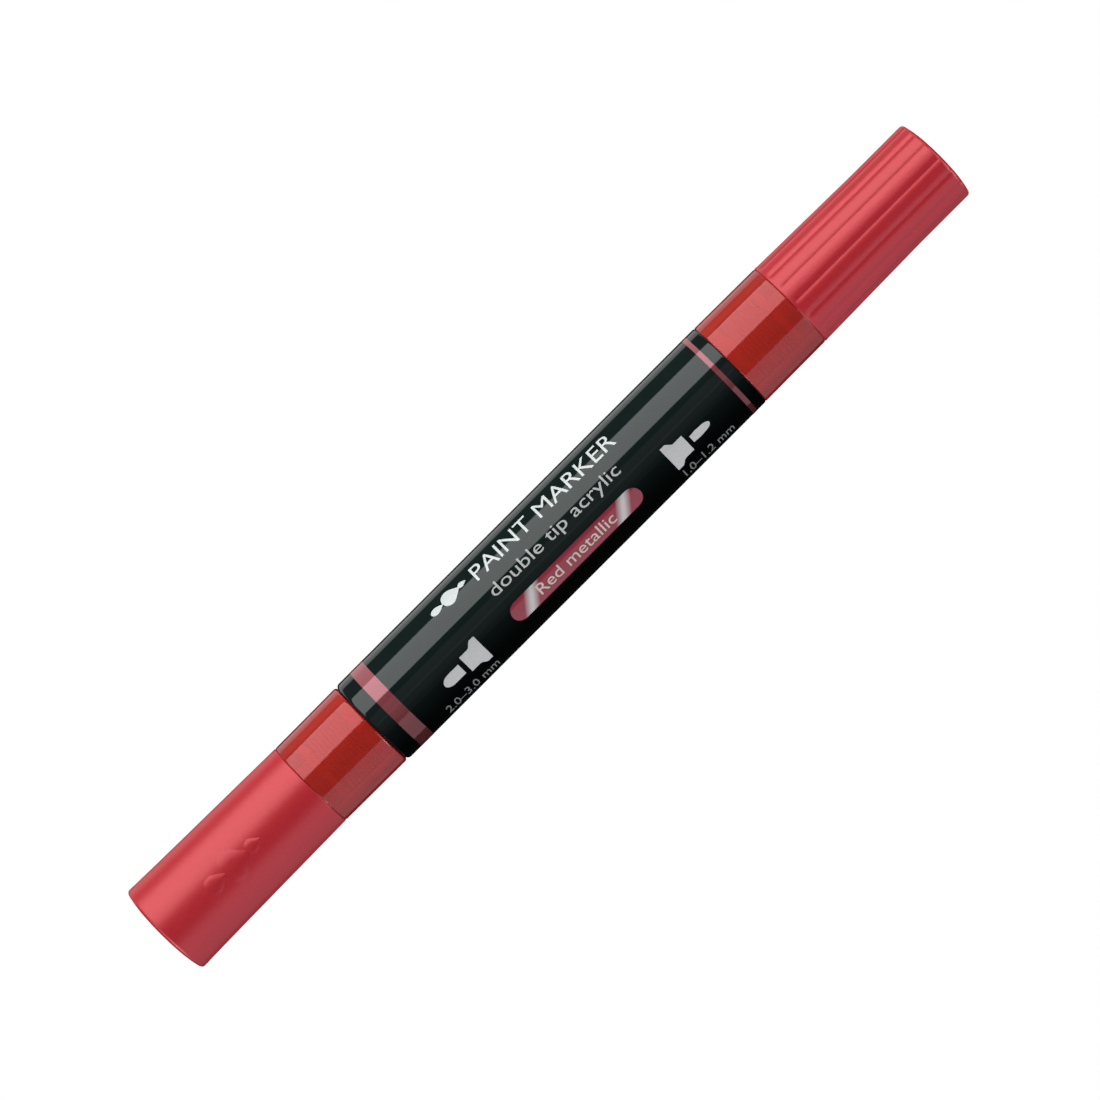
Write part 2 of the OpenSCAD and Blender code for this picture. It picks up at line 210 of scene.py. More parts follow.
class Finish:
    """A material made of one Principled shader and the nodes that feed it."""

    def __init__(self, name, **settings):
        self.material = bpy.data.materials.new(name)
        self.material.use_nodes = True
        self.tree = self.material.node_tree
        self.shader = self.tree.nodes["Principled BSDF"]
        for socket, value in settings.items():
            self.shader.inputs[socket.replace("_", " ")].default_value = value
        self.place = self.add("ShaderNodeTexCoord").outputs["Object"]

    def add(self, kind, inputs=(), **settings):
        """A new node: an input is given a value, or is linked to a node's output."""
        node = self.tree.nodes.new(kind)
        for key, value in settings.items():
            setattr(node, key, value)
        for socket, value in dict(inputs).items():
            if isinstance(value, bpy.types.NodeSocket):
                self.tree.links.new(value, node.inputs[socket])
            else:
                node.inputs[socket].default_value = value
        return node

    def stretched(self, scale):
        """Object coordinates scaled by (x, y, z)."""
        return self.add("ShaderNodeMapping", {"Vector": self.place, "Scale": scale}).outputs[0]

    def noise(self, scale, detail=2.0, roughness=0.5, vector=None):
        """Soft random grey, finer as scale grows."""
        inputs = {"Vector": vector or self.place, "Scale": scale, "Detail": detail,
                  "Roughness": roughness}
        return self.add("ShaderNodeTexNoise", inputs).outputs["Fac"]

    def spread(self, value, low, high, from_low=0.3, from_high=0.7):
        """Maps a grey value from one range to another."""
        inputs = {"Value": value, "From Min": from_low, "From Max": from_high,
                  "To Min": low, "To Max": high}
        return self.add("ShaderNodeMapRange", inputs).outputs[0]

    def colours(self, value, *stops):
        """A colour ramp: stops are (place, (r, g, b))."""
        ramp = self.add("ShaderNodeValToRGB", {"Fac": value})
        elements = ramp.color_ramp.elements
        while len(elements) < len(stops):
            elements.new(0.5)
        for element, (place, colour) in zip(elements, stops):
            element.position = place
            element.color = (*colour, 1)
        return ramp.outputs["Color"]

    def feed(self, socket, value):
        """Links a value to one of the shader's sockets."""
        self.tree.links.new(value, self.shader.inputs[socket])

    def bump(self, height, strength, distance):
        """Small relief, on top of any bump that is there already."""
        inputs = {"Height": height, "Strength": strength, "Distance": distance}
        bump = self.add("ShaderNodeBump", inputs)
        if self.shader.inputs["Normal"].is_linked:
            before = self.shader.inputs["Normal"].links[0].from_socket
            self.tree.links.new(before, bump.inputs["Normal"])
        self.feed("Normal", bump.outputs["Normal"])


def glossy_black():
    """Glossy black lacquer of the barrel: faint haze and hair scratches along it."""
    f = Finish("barrel_black", Roughness=0.06, Specular_IOR_Level=0.5)
    cloud = f.noise(160, 3)
    f.feed("Base Color", f.colours(cloud, (0.3, (0.0080, 0.0150, 0.0145)), (0.7, (0.0100, 0.0175, 0.0170))))
    hair = f.noise(900, 2, vector=f.stretched((0.06, 1, 1)))
    f.feed("Roughness", f.spread(hair, 0.045, 0.09))
    f.bump(f.noise(600, 2), 0.05, 0.00002)
    return f.material


def clear_red():
    """Tinted clear plastic of the sections."""
    f = Finish("section_clear_red", Roughness=0.06, IOR=1.55, Transmission_Weight=0.60,
               Specular_IOR_Level=1.0, Specular_Tint=(1.0, 0.48, 0.51, 1.0))
    flow = f.noise(260, 3, vector=f.stretched((0.4, 1, 1)))
    f.feed("Base Color", f.colours(flow, (0.3, (0.53, 0.036, 0.024)), (0.7, (0.59, 0.046, 0.032))))
    f.bump(f.noise(900, 2), 0.04, 0.00002)
    return f.material


def satin_red_metal():
    """Satin metallic red of the caps, with a fine flake."""
    f = Finish("cap_metal_red", Metallic=0.19, Roughness=0.36)
    flake = f.add("ShaderNodeTexVoronoi", {"Vector": f.place, "Scale": 14000}).outputs["Color"]
    flake_grey = f.add("ShaderNodeSeparateColor", {"Color": flake}).outputs[0]
    f.feed("Base Color", f.colours(flake_grey, (0.0, (0.35, 0.013, 0.020)), (1.0, (0.43, 0.019, 0.028))))
    f.feed("Roughness", f.spread(f.noise(2500, 2), 0.33, 0.39))
    f.bump(flake_grey, 0.06, 0.00002)
    return f.material


def crimson_foil():
    """Crimson metallic ink of the printed bands."""
    f = Finish("crimson_print", Roughness=0.08, IOR=1.8, Specular_IOR_Level=1.0,
               Specular_Tint=(0.90, 0.46, 0.52, 1.0))
    grain = f.noise(9000, 1)
    f.feed("Base Color", f.colours(grain, (0.3, (0.24, 0.052, 0.060)), (0.7, (0.29, 0.066, 0.076))))
    f.bump(f.noise(4000, 1), 0.05, 0.00002)
    return f.material


def pill_with_painted_glints(left, right):
    """Crimson ink, with two slanting silvery glints painted into its colour as painted highlights."""
    f = Finish("crimson_print_painted_glints", Roughness=0.10)
    parts = f.add("ShaderNodeSeparateXYZ", {"Vector": f.place})
    lean = f.add("ShaderNodeMath", {0: parts.outputs["Y"], 1: -0.82}, operation="MULTIPLY")
    slant = f.add("ShaderNodeMath", {0: parts.outputs["X"], 1: lean.outputs[0]}, operation="ADD")
    grain = f.noise(9000, 1)
    base = f.colours(grain, (0.3, (0.23, 0.020, 0.036)), (0.7, (0.27, 0.026, 0.044)))
    # Painted highlights: a mask of two slanting glints, each fading out from its centre line.
    silver = None
    for centre in (left, right):
        off = f.add("ShaderNodeMath", {0: slant.outputs[0], 1: centre}, operation="SUBTRACT")
        away = f.add("ShaderNodeMath", {0: off.outputs[0]}, operation="ABSOLUTE")
        near = f.spread(away.outputs[0], 1.0, 0.0, 0.0002, 0.0014)
        if silver is None:
            silver = near
        else:
            silver = f.add("ShaderNodeMath", {0: silver, 1: near}, operation="MAXIMUM").outputs[0]
    # The mask mixes a pale grey painted highlight into the crimson ink colour.
    mix = f.add("ShaderNodeMix", data_type="RGBA")
    f.tree.links.new(silver, mix.inputs["Factor"])
    f.tree.links.new(base, mix.inputs["A"])
    mix.inputs["B"].default_value = (0.50, 0.47, 0.45, 1)
    f.feed("Base Color", mix.outputs["Result"])
    return f.material


def flat_print(name, dark, light):
    """Screen print: even ink with a faint grain."""
    f = Finish(name, Roughness=0.3)
    f.feed("Base Color", f.colours(f.noise(6000, 2), (0.3, dark), (0.7, light)))
    f.bump(f.noise(7000, 1), 0.05, 0.00002)
    return f.material


def ink_red():
    """Moulded regulator, wetted with red ink."""
    f = Finish("regulator_red", Roughness=0.35)
    f.feed("Base Color", f.colours(f.noise(500, 3), (0.3, (0.70, 0.10, 0.09)), (0.7, (0.82, 0.14, 0.12))))
    f.bump(f.noise(1500, 2), 0.1, 0.00003)
    return f.material


def milky(name, dark, light, roughness):
    """Soft milky plastic or rubber, slightly mottled."""
    f = Finish(name, Roughness=roughness, Subsurface_Weight=0.15, Subsurface_Scale=0.001)
    f.feed("Base Color", f.colours(f.noise(400, 3), (0.3, dark), (0.7, light)))
    f.feed("Roughness", f.spread(f.noise(900, 2), roughness - 0.06, roughness + 0.06))
    f.bump(f.noise(2200, 2), 0.08, 0.00002)
    return f.material


def satin_black():
    """Satin black plastic of the nib holders."""
    f = Finish("holder_black", Roughness=0.36)
    mottle = f.noise(500, 2)
    f.feed("Base Color", f.colours(mottle, (0.3, (0.012, 0.012, 0.013)), (0.7, (0.020, 0.020, 0.021))))
    f.feed("Roughness", f.spread(f.noise(1200, 2), 0.30, 0.44))
    f.bump(f.noise(5000, 2), 0.10, 0.00002)
    return f.material


def pressed_fibre(name, dark, light):
    """Pressed fibre: strands that run along the marker."""
    f = Finish(name, Roughness=0.75)
    strands = f.noise(7000, 3, 0.6, vector=f.stretched((0.05, 1, 1)))
    f.feed("Base Color", f.colours(strands, (0.3, dark), (0.7, light)))
    f.bump(strands, 0.5, 0.00004)
    return f.material


def polished_steel():
    """Steel of the mixing balls, with a film of ink."""
    f = Finish("ball_steel", Metallic=1.0, Roughness=0.12)
    film = f.noise(700, 3)
    f.feed("Base Color", f.colours(film, (0.45, (0.62, 0.63, 0.65)), (0.7, (0.48, 0.20, 0.20))))
    f.feed("Roughness", f.spread(film, 0.08, 0.30))
    return f.material


BLACK = glossy_black()
CLEAR_RED = clear_red()
METAL_RED = satin_red_metal()
CRIMSON = crimson_foil()
WHITE_PRINT = flat_print("white_print", (0.74, 0.76, 0.75), (0.82, 0.84, 0.83))
GREY_PRINT = flat_print("grey_print", (0.12, 0.12, 0.12), (0.16, 0.16, 0.16))
SILVER_PRINT = flat_print("silver_print", (0.46, 0.45, 0.435), (0.53, 0.52, 0.505))
CREAM_PRINT = flat_print("cream_print", (0.55, 0.42, 0.38), (0.62, 0.48, 0.44))
INK_RED = ink_red()
MILKY = milky("inner_cap_white", (0.70, 0.68, 0.63), (0.80, 0.78, 0.74), 0.40)
DIVIDER_WHITE = milky("divider_white", (0.66, 0.62, 0.58), (0.78, 0.75, 0.70), 0.45)
RUBBER = milky("seal_rubber", (0.55, 0.54, 0.51), (0.66, 0.65, 0.62), 0.60)
HOLDER_BLACK = satin_black()
NIB_FIBRE = pressed_fibre("nib_fibre", (0.36, 0.020, 0.026), (0.60, 0.070, 0.075))
WICK_FIBRE = pressed_fibre("wick_fibre", (0.62, 0.40, 0.36), (0.82, 0.66, 0.60))
STEEL = polished_steel()


def dress(piece, material, body, slot, *stands_for):
    """Gives a new piece its material, body and slot, and hides the nodes it stands for."""
    piece.data.materials.clear()
    piece.data.materials.append(material)
    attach(piece, body)
    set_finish(piece, slot)
    if stands_for:
        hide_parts(*stands_for)
    return piece


# ---------------------------------------------------------------- barrel

BARREL_WALL_MM = 1.0
barrel_r_mm = BARREL_R / MM
barrel_length_mm = (FINE_END_X - BROAD_END_X) / MM
bore_r_mm = barrel_r_mm - BARREL_WALL_MM


def make_barrel():
    """The printed tube, with a softer edge at its broad end."""
    length = barrel_length_mm
    chamfer = 0.25
    outline = [(bore_r_mm + chamfer, 0)]
    outline += arc(barrel_r_mm - 0.65, 0.65, 0.65, -90, 0)
    outline += [(barrel_r_mm, length * share) for share in (0.25, 0.5, 0.75)]
    outline += arc(barrel_r_mm - 0.25, length - 0.25, 0.25, 0, 90)
    outline += [(bore_r_mm + chamfer, length), (bore_r_mm, length - chamfer),
                (bore_r_mm, chamfer), (bore_r_mm + chamfer, 0)]
    piece = turned_piece("barrel_tube", [(r, BROAD_END_X + u * MM) for r, u in outline], 192)
    return dress(piece, BLACK, "marker_body", "barrel_black", "barrel")


make_barrel()


# ---------------------------------------------------------------- sections

SPIGOT_MM = 8.5
NECK_MM = 6.0
mouth_bore_r_mm = 5.82
neck_r_mm = 5.62
bead_height_mm = 0.15
section_bore_r_mm = 4.77
spigot_r_mm = bore_r_mm - 0.02
groove_r_mm = bore_r_mm - 0.5
broad_collar_mm = (BROAD_END_X - broad_cap_high.x) / MM
fine_collar_mm = (fine_cap_low.x - FINE_END_X) / MM


def make_section(name, end_x, collar, rear_r, front_r, rear_round, node):
    """A section: spigot with a seal groove, collar, neck with two rounded grip beads."""
    neck_end = collar + NECK_MM
    seal_low, seal_high = -3.85, -2.55
    bead_half = 0.45
    bead_steps = 4
    outline = [(section_bore_r_mm, -SPIGOT_MM), (spigot_r_mm - 0.25, -SPIGOT_MM),
               (spigot_r_mm, -SPIGOT_MM + 0.25), (spigot_r_mm, seal_low),
               (groove_r_mm, seal_low), (groove_r_mm, seal_high),
               (spigot_r_mm, seal_high), (spigot_r_mm, 0)]
    outline += arc(rear_r - rear_round, rear_round, rear_round, -90, 0)
    outline += arc(front_r - 0.2, collar - 0.2, 0.2, 0, 90)
    outline += [(neck_r_mm + 0.12, collar), (neck_r_mm, collar + 0.12)]
    for share in (0.3, 0.75):
        middle = collar + NECK_MM * share
        for step in range(-bead_steps, bead_steps + 1):
            height = bead_height_mm * 0.5 * (1 + math.cos(math.pi * step / bead_steps))
            outline.append((neck_r_mm + height, middle + bead_half * step / bead_steps))
    outline += [(neck_r_mm, neck_end - 0.25), (neck_r_mm - 0.25, neck_end),
                (section_bore_r_mm, neck_end), (section_bore_r_mm, -SPIGOT_MM)]
    piece = turned_piece(name, outward(end_x, outline), 192)
    return dress(piece, CLEAR_RED, "marker_body", "section_clear_red", node)


make_section("broad_section_tube", broad_x, broad_collar_mm, barrel_r_mm - 0.08,
             barrel_r_mm - 0.14, 0.4, "broad_section")
make_section("fine_section_tube", fine_x, fine_collar_mm, barrel_r_mm - 0.03,
             barrel_r_mm - 0.09, 0.2, "fine_section")


# ---------------------------------------------------------------- caps

CAP_MM = (broad_cap_high.x - broad_cap_low.x) / MM
CAP_END_WALL_MM = 1.4
END_FLAT_SHARE = 0.45
END_FALL_MM = 0.5
END_EDGE_MM = 0.5


def cap_inside(collar, length, deep_r):
    """The space inside a cap shell, from its closed end back to its mouth."""
    step = collar + NECK_MM + 2.0
    floor = collar + length - CAP_END_WALL_MM
    return [(0, floor), (deep_r, floor), (deep_r, step), (mouth_bore_r_mm, step),
            (mouth_bore_r_mm, collar + 0.25), (mouth_bore_r_mm + 0.25, collar)]


def crowned_end(end_r, end, steps=8):
    """A cap's closed end: a rounded edge, a crowned ring and a flat middle."""
    flat_r = end_r * END_FLAT_SHARE
    ring = end_r - flat_r
    crown_r = (ring ** 2 + END_FALL_MM ** 2) / (2 * END_FALL_MM)
    centre = end - crown_r
    rise = math.sqrt((crown_r - END_EDGE_MM) ** 2 - (ring - END_EDGE_MM) ** 2)
    slope = math.degrees(math.atan2(rise, ring - END_EDGE_MM))
    outline = arc(end_r - END_EDGE_MM, centre + rise, END_EDGE_MM, 0, slope)
    return outline + arc(flat_r, centre, crown_r, slope, 90, steps)[1:] + [(0, end)]


def make_broad_cap():
    """The smooth cap: a slight cone with a last small flare at its closed end."""
    mouth_r = barrel_r_mm - 0.13
    end_r = barrel_r_mm + 0.30
    start = broad_collar_mm
    outline = cap_inside(start, CAP_MM, mouth_r - 1.25)
    outline += arc(mouth_r - 0.2, start + 0.2, 0.2, -90, 0)
    for i in range(1, 14):
        share = i / 14
        radius = mouth_r + (end_r - mouth_r) * (0.84 * share + 0.16 * share ** 6)
        outline.append((radius, start + (CAP_MM - END_FALL_MM) * share))
    outline += crowned_end(end_r, start + CAP_MM)
    piece = turned_piece("broad_cap_shell", outward(broad_x, outline), 192)
    return dress(piece, METAL_RED, "broad_cap_body", "cap_metal_red", "broad_cap")


def make_fine_cap():
    """The reeded cap: it narrows for two thirds of its length, then runs straight."""
    mouth_r = barrel_r_mm - 0.07
    end_r = barrel_r_mm - 0.35
    start = fine_collar_mm
    end = start + CAP_MM
    outline = cap_inside(start, CAP_MM, end_r - 1.25)
    outline += arc(mouth_r - 0.2, start + 0.2, 0.2, -90, 0)
    bend = start + CAP_MM * 0.65
    outline += [(mouth_r - (mouth_r - end_r) * (u - start) / (bend - start), u)
                for u in (start + 0.35, start + 0.6, start + 1.1, start + 6, start + 12)]
    outline += [(end_r, bend), (end_r, start + 24)]
    outline += crowned_end(end_r, end)
    piece = turned_piece("fine_cap_shell", outward(fine_x, outline), REEDS * STEPS_PER_REED)
    cut_reeds(piece, fine_x(start + 0.45), end_r)
    smooth(piece, 40)
    return dress(piece, METAL_RED, "fine_cap_body", "cap_metal_red", "fine_cap")


REEDS = 16
STEPS_PER_REED = 18
REED_TURN_DEG = 1.5
REED_DEPTHS_MM = (0.165, 0.122, 0.082, 0.049, 0.025, 0.011, 0.003, 0.000, 0.000, 0.000)


def cut_reeds(piece, from_x, end_r):
    """Presses the grooves between the reeds into the outer surface. The depths go from
    the middle of a groove to the middle of a reed."""
    pitch = 360 / REEDS
    # With no window open the operator turns against its sign.
    twist = -math.radians(REED_TURN_DEG)
    pick(piece)
    bpy.ops.object.mode_set(mode="EDIT")
    bpy.ops.mesh.select_all(action="SELECT")
    bpy.ops.transform.rotate(value=twist, orient_axis="X", center_override=(0, 0, AXIS_Z))
    bpy.ops.object.mode_set(mode="OBJECT")
    for offset, depth in enumerate(REED_DEPTHS_MM):

        def in_row(place):
            radius = math.hypot(place.y, place.z - AXIS_Z) / MM
            turn = math.degrees(math.atan2(-place.y, place.z - AXIS_Z)) - REED_TURN_DEG
            step = (turn + pitch / 2) % pitch / pitch * STEPS_PER_REED - STEPS_PER_REED / 2
            outer = radius > end_r - 1.15 and place.x > from_x
            return outer and abs(abs(step) - offset) < 0.2

        select_vertices(piece, in_row)
        bpy.ops.object.mode_set(mode="EDIT")
        factor = 1 - depth / end_r
        bpy.ops.transform.resize(value=(1, factor, factor), center_override=(0, 0, AXIS_Z))
        bpy.ops.object.mode_set(mode="OBJECT")


make_broad_cap()
make_fine_cap()


# ---------------------------------------------------------------- printed bands

def printed_band(name, from_x, to_x):
    """A ring of ink round the barrel."""
    low, high = barrel_r_mm - 0.05, barrel_r_mm + 0.015
    outline = [(low, from_x), (high, from_x), (high, to_x), (low, to_x), (low, from_x)]
    piece = turned_piece(name, outline, 192)
    return dress(piece, CRIMSON, "marker_body", "barrel_black")


printed_band("wide_crimson_band", BROAD_END_X + 2.67 * MM, BROAD_END_X + 4.95 * MM)
printed_band("thin_crimson_band", FINE_END_X - 2.40 * MM, FINE_END_X - 1.70 * MM)


# ---------------------------------------------------------------- flat prints
# A print is drawn flat, standing in the plane y = 0 with its front to -Y, and then bent onto
# the barrel. Its heights are measured round the barrel, up from the level of the axis on the
# -Y side. Sizes are in millimetres, and x is a place along the marker.

PRINT_THICKNESS = 0.03 * MM


def wrap_round(piece, radius):
    """Cuts a flat shape into narrow strips and bends it to a radius round the axis."""
    heights = [vertex.co.z for vertex in piece.data.vertices]
    low, high = min(heights), max(heights)
    pick(piece)
    bpy.ops.object.mode_set(mode="EDIT")
    strips = max(2, round((high - low) / (0.3 * MM)))
    for i in range(1, strips):
        bpy.ops.mesh.select_all(action="SELECT")
        height = low + (high - low) * i / strips
        bpy.ops.mesh.bisect(plane_co=(0, 0, height), plane_no=(0, 0, 1))
    bpy.ops.object.mode_set(mode="OBJECT")
    apply_modifier(piece, "SIMPLE_DEFORM", deform_method="BEND", deform_axis="X",
                   angle=(high - low) / radius)
    piece.location = (0, -radius, AXIS_Z)
    apply_place(piece)


def flat_shape(name, stations, thickness=PRINT_THICKNESS, radius=BARREL_R, slant=0):
    """A flat shape drawn as a strip and bent round: stations are (x, lowest, highest). With a
    slant its front is drawn together and forward by that much, so that its sides slope."""
    x, low, high = stations[0]
    piece = start_vertex(name, x * MM, 0, low * MM)
    bpy.ops.mesh.extrude_region_move(TRANSFORM_OT_translate={"value": (0, 0, (high - low) * MM)})
    bpy.ops.mesh.select_all(action="SELECT")
    for next_x, next_low, next_high in stations[1:]:
        rise = (next_low + next_high - low - high) / 2
        move = ((next_x - x) * MM, 0, rise * MM)
        bpy.ops.mesh.extrude_region_move(TRANSFORM_OT_translate={"value": move})
        growth = (next_high - next_low) / (high - low)
        middle = (next_x * MM, 0, (next_low + next_high) / 2 * MM)
        bpy.ops.transform.resize(value=(1, 1, growth), center_override=middle)
        x, low, high = next_x, next_low, next_high
    bpy.ops.mesh.select_all(action="SELECT")
    bpy.ops.object.mode_set(mode="OBJECT")
    apply_place(piece)
    apply_modifier(piece, "SOLIDIFY", thickness=thickness, offset=0)
    pick(piece)
    bpy.ops.object.mode_set(mode="EDIT")
    bpy.ops.mesh.select_all(action="SELECT")
    bpy.ops.mesh.normals_make_consistent(inside=False)
    bpy.ops.object.mode_set(mode="OBJECT")
    if slant:
        raise_front(piece, slant)
    wrap_round(piece, radius)
    return piece


def raise_front(piece, slant):
    """Draws the front of a flat shape forward in two steps, each smaller than the last."""
    xs = [vertex.co.x for vertex in piece.data.vertices]
    zs = [vertex.co.z for vertex in piece.data.vertices]
    middle = ((min(xs) + max(xs)) / 2, 0, (min(zs) + max(zs)) / 2)
    front = min(vertex.co.y for vertex in piece.data.vertices)
    select_vertices(piece, lambda place: place.y < front + 1e-7)
    bpy.ops.object.mode_set(mode="EDIT")
    for size, share in ((0.72, 0.65), (0.50, 0.35)):
        bpy.ops.mesh.extrude_region_move(
            TRANSFORM_OT_translate={"value": (0, -slant * share, 0)})
        bpy.ops.transform.resize(value=(size, 1, size), center_override=middle)
    bpy.ops.object.mode_set(mode="OBJECT")


def printed_words(name, words, from_x, to_x, low, high, radius=BARREL_R):
    """Words fitted between two places along the marker and two heights round it."""
    deselect_objects()
    bpy.ops.object.text_add(rotation=(math.pi / 2, 0, 0))
    piece = bpy.context.object
    piece.name = name
    piece.data.body = words
    piece.data.size = 3 * MM
    piece.data.extrude = PRINT_THICKNESS / 2
    piece.data.resolution_u = 4
    bpy.ops.object.convert(target="MESH")
    apply_place(piece)
    xs = [vertex.co.x for vertex in piece.data.vertices]
    zs = [vertex.co.z for vertex in piece.data.vertices]
    across = (to_x - from_x) * MM / (max(xs) - min(xs))
    up = (high - low) * MM / (max(zs) - min(zs))
    piece.scale = (across, 1, up)
    piece.location = (from_x * MM - min(xs) * across, 0, low * MM - min(zs) * up)
    apply_place(piece)
    bpy.ops.object.mode_set(mode="EDIT")
    bpy.ops.mesh.select_all(action="SELECT")
    bpy.ops.mesh.remove_doubles(threshold=1e-7)
    bpy.ops.mesh.normals_make_consistent(inside=False)
    bpy.ops.object.mode_set(mode="OBJECT")
    wrap_round(piece, radius)
    return piece


def print_on_barrel(piece, material):
    """Gives a finished print its ink, as part of the barrel."""
    return dress(piece, material, "marker_body", "barrel_black")


def rounded_end(x, reach, middle, half, steps=7):
    """Stations of a round end, from its tip at x + reach to its full height at x."""
    stations = []
    for i in range(steps + 1):
        a = math.radians(6 + 84 * i / steps)
        height = half * math.sin(a)
        stations.append((x + reach * math.cos(a), middle - height, middle + height))
    return stations


def holder_picture(wide_x, narrow_x, middle):
    """Outline of a nib holder: flange, hollow shoulder and narrower front."""
    wide, narrow = 2.17, 1.45
    length = narrow_x - wide_x
    shares = [(0.0, wide), (0.25, wide), (0.30, 2.09), (0.36, 1.91), (0.42, 1.70),
              (0.47, 1.55), (0.52, 1.47), (0.57, narrow), (1.0, narrow)]
    return [(wide_x + length * share, middle - half, middle + half) for share, half in shares]


PICTURE_HEIGHT = 7.15

broad_picture_nib = rounded_end(-21.7, -1.3, PICTURE_HEIGHT, 0.90)
broad_picture_nib.append((-19.75, PICTURE_HEIGHT - 0.90, PICTURE_HEIGHT + 0.90))
print_on_barrel(flat_shape("broad_nib_picture", broad_picture_nib), SILVER_PRINT)
print_on_barrel(flat_shape("broad_holder_picture", holder_picture(-15.70, -19.02, PICTURE_HEIGHT)),
                SILVER_PRINT)

fine_picture_nib = [(22.96, PICTURE_HEIGHT - 0.56, PICTURE_HEIGHT + 0.56),
                    (24.00, PICTURE_HEIGHT - 0.65, PICTURE_HEIGHT + 0.65),
                    (24.80, PICTURE_HEIGHT - 0.61, PICTURE_HEIGHT + 0.61)]
fine_picture_nib += reversed(rounded_end(24.90, 1.35, PICTURE_HEIGHT, 0.60))
print_on_barrel(flat_shape("fine_nib_picture", fine_picture_nib), SILVER_PRINT)
print_on_barrel(flat_shape("fine_holder_picture", holder_picture(18.95, 22.30, PICTURE_HEIGHT)),
                SILVER_PRINT)

print_on_barrel(printed_words("broad_line_width", "2.0\u20133.0 mm", -25.1, -15.7, 2.40, 4.35),
                GREY_PRINT)
print_on_barrel(printed_words("fine_line_width", "1.0\u20131.2 mm", 19.2, 28.2, 2.40, 4.35),
                GREY_PRINT)

PILL_LOW, PILL_HIGH = 5.59, 8.68
pill_middle = (PILL_LOW + PILL_HIGH) / 2
pill_half = (PILL_HIGH - PILL_LOW) / 2
pill = rounded_end(-8.75, -pill_half, pill_middle, pill_half, 10)
pill += reversed(rounded_end(11.86, pill_half, pill_middle, pill_half, 10))
# The colour pill: crimson ink with two painted highlights in its colour.
print_on_barrel(flat_shape("colour_pill", pill), pill_with_painted_glints(-0.0040, 0.0130))
pill_words = printed_words("colour_name", "Red metallic", -5.4, 8.6, 6.50, 8.20,
                           BARREL_R + PRINT_THICKNESS)
print_on_barrel(pill_words, CREAM_PRINT)

print_on_barrel(printed_words("first_line", "PAINT MARKER", -10.1, 15.7, 14.15, 16.75),
                WHITE_PRINT)
print_on_barrel(printed_words("second_line", "double tip acrylic", -10.0, 13.4, 10.25, 12.55),
                SILVER_PRINT)


def paint_drop(name, x, low, high, half, **bent):
    """A drop, drawn as a strip along the marker: its point is at the +X end."""
    middle = (low + high) / 2
    full = (high - low) / 2
    shares = [(-1.0, 0.12), (-0.94, 0.42), (-0.82, 0.68), (-0.62, 0.88), (-0.36, 0.99),
              (-0.10, 0.97), (0.18, 0.80), (0.46, 0.53), (0.74, 0.26), (0.92, 0.09), (1.0, 0.03)]
    return flat_shape(name, [(x + half * along, middle - full * share, middle + full * share)
                             for along, share in shares], **bent)


PRINTED_DROPS = [(-16.6, 14.9, 16.1, 1.1), (-14.0, 14.4, 16.9, 1.6), (-11.9, 15.3, 16.2, 0.7)]
for number, (x, low, high, half) in enumerate(PRINTED_DROPS):
    print_on_barrel(paint_drop(f"drop_{number}", x, low, high, half), WHITE_PRINT)

# The same kind of drops again, raised a little from the side of the broad cap, with sloping
# sides. The last number is the radius of a drop's edge, just proud of the cap there.
RELIEF_THICKNESS = 0.20 * MM
RELIEF_HEIGHT = 0.12 * MM
RAISED_DROPS = [(-62.5, 8.9, 11.7, 1.9, 6.910), (-58.9, 7.7, 12.9, 2.4, 6.860),
                (-55.5, 9.2, 11.4, 1.3, 6.810)]
for number, (x, low, high, half, proud_r) in enumerate(RAISED_DROPS):
    raised = paint_drop(f"raised_drop_{number}", x, low, high, half, thickness=RELIEF_THICKNESS,
                        radius=proud_r * MM - RELIEF_THICKNESS / 2, slant=RELIEF_HEIGHT)
    smooth(raised, 40)
    dress(raised, METAL_RED, "broad_cap_body", "cap_metal_red")


# ---------------------------------------------------------------- pieces kept from the CAD

for material, names in (
        (INK_RED, ("broad_collector", "fine_collector")),
        (WICK_FIBRE, ("broad_feed_wick", "fine_feed_wick")),
        (NIB_FIBRE, ("broad_nib", "fine_nib")),
        (HOLDER_BLACK, ("broad_nib_holder", "fine_nib_holder")),
        (MILKY, ("broad_inner_cap", "fine_inner_cap")),
        (DIVIDER_WHITE, ("tank_divider",)),
        (RUBBER, ("divider_seals", "broad_section_seal", "fine_section_seal")),
        (STEEL, ("broad_mixing_ball", "fine_mixing_ball"))):
    for node_name in names:
        for material_slot in nodes[node_name].material_slots:
            material_slot.material = material


# ---------------------------------------------------------------- light and stage
# The light is built in sheets parallel to the marker, each over its own range of angles, so
# that every finish has its own bright and dark bands along it.

def softbox(name, toward, low, high, radiance, colour=(1, 1, 1), distance=0.6, length=1.6):
    """A long light parallel to the marker. low and high are angles from straight up, in
    degrees, toward +Y when toward is 1 and toward -Y when it is -1."""
    middle = math.radians((low + high) / 2) * toward
    width = 2 * distance * math.tan(math.radians(abs(high - low) / 2))
    data = bpy.data.lights.new(name, "AREA")
    data.shape = "RECTANGLE"
    data.size = length
    data.size_y = width
    data.energy = radiance * math.pi * length * width
    data.color = colour
    light = bpy.data.objects.new(name, data)
    light.location = (0, distance * math.sin(middle), AXIS_Z + distance * math.cos(middle))
    light.rotation_euler = (-middle, 0, 0)
    light.visible_camera = False
    bpy.context.scene.collection.objects.link(light)
    return light


def shine_only_on(light, name, pieces, let_through=()):
    """Keeps a light to some of the pieces, as a black flag in a studio does. It also passes
    through the clear pieces in let_through without a shadow."""
    lit = bpy.data.collections.new(name)
    for piece in pieces:
        lit.objects.link(piece)
    light.light_linking.receiver_collection = lit
    if let_through:
        blocking = bpy.data.collections.new(name + "_blocked_by")
        for piece in bpy.data.objects:
            if piece.type == "MESH" and piece not in let_through:
                blocking.objects.link(piece)
        light.light_linking.blocker_collection = blocking


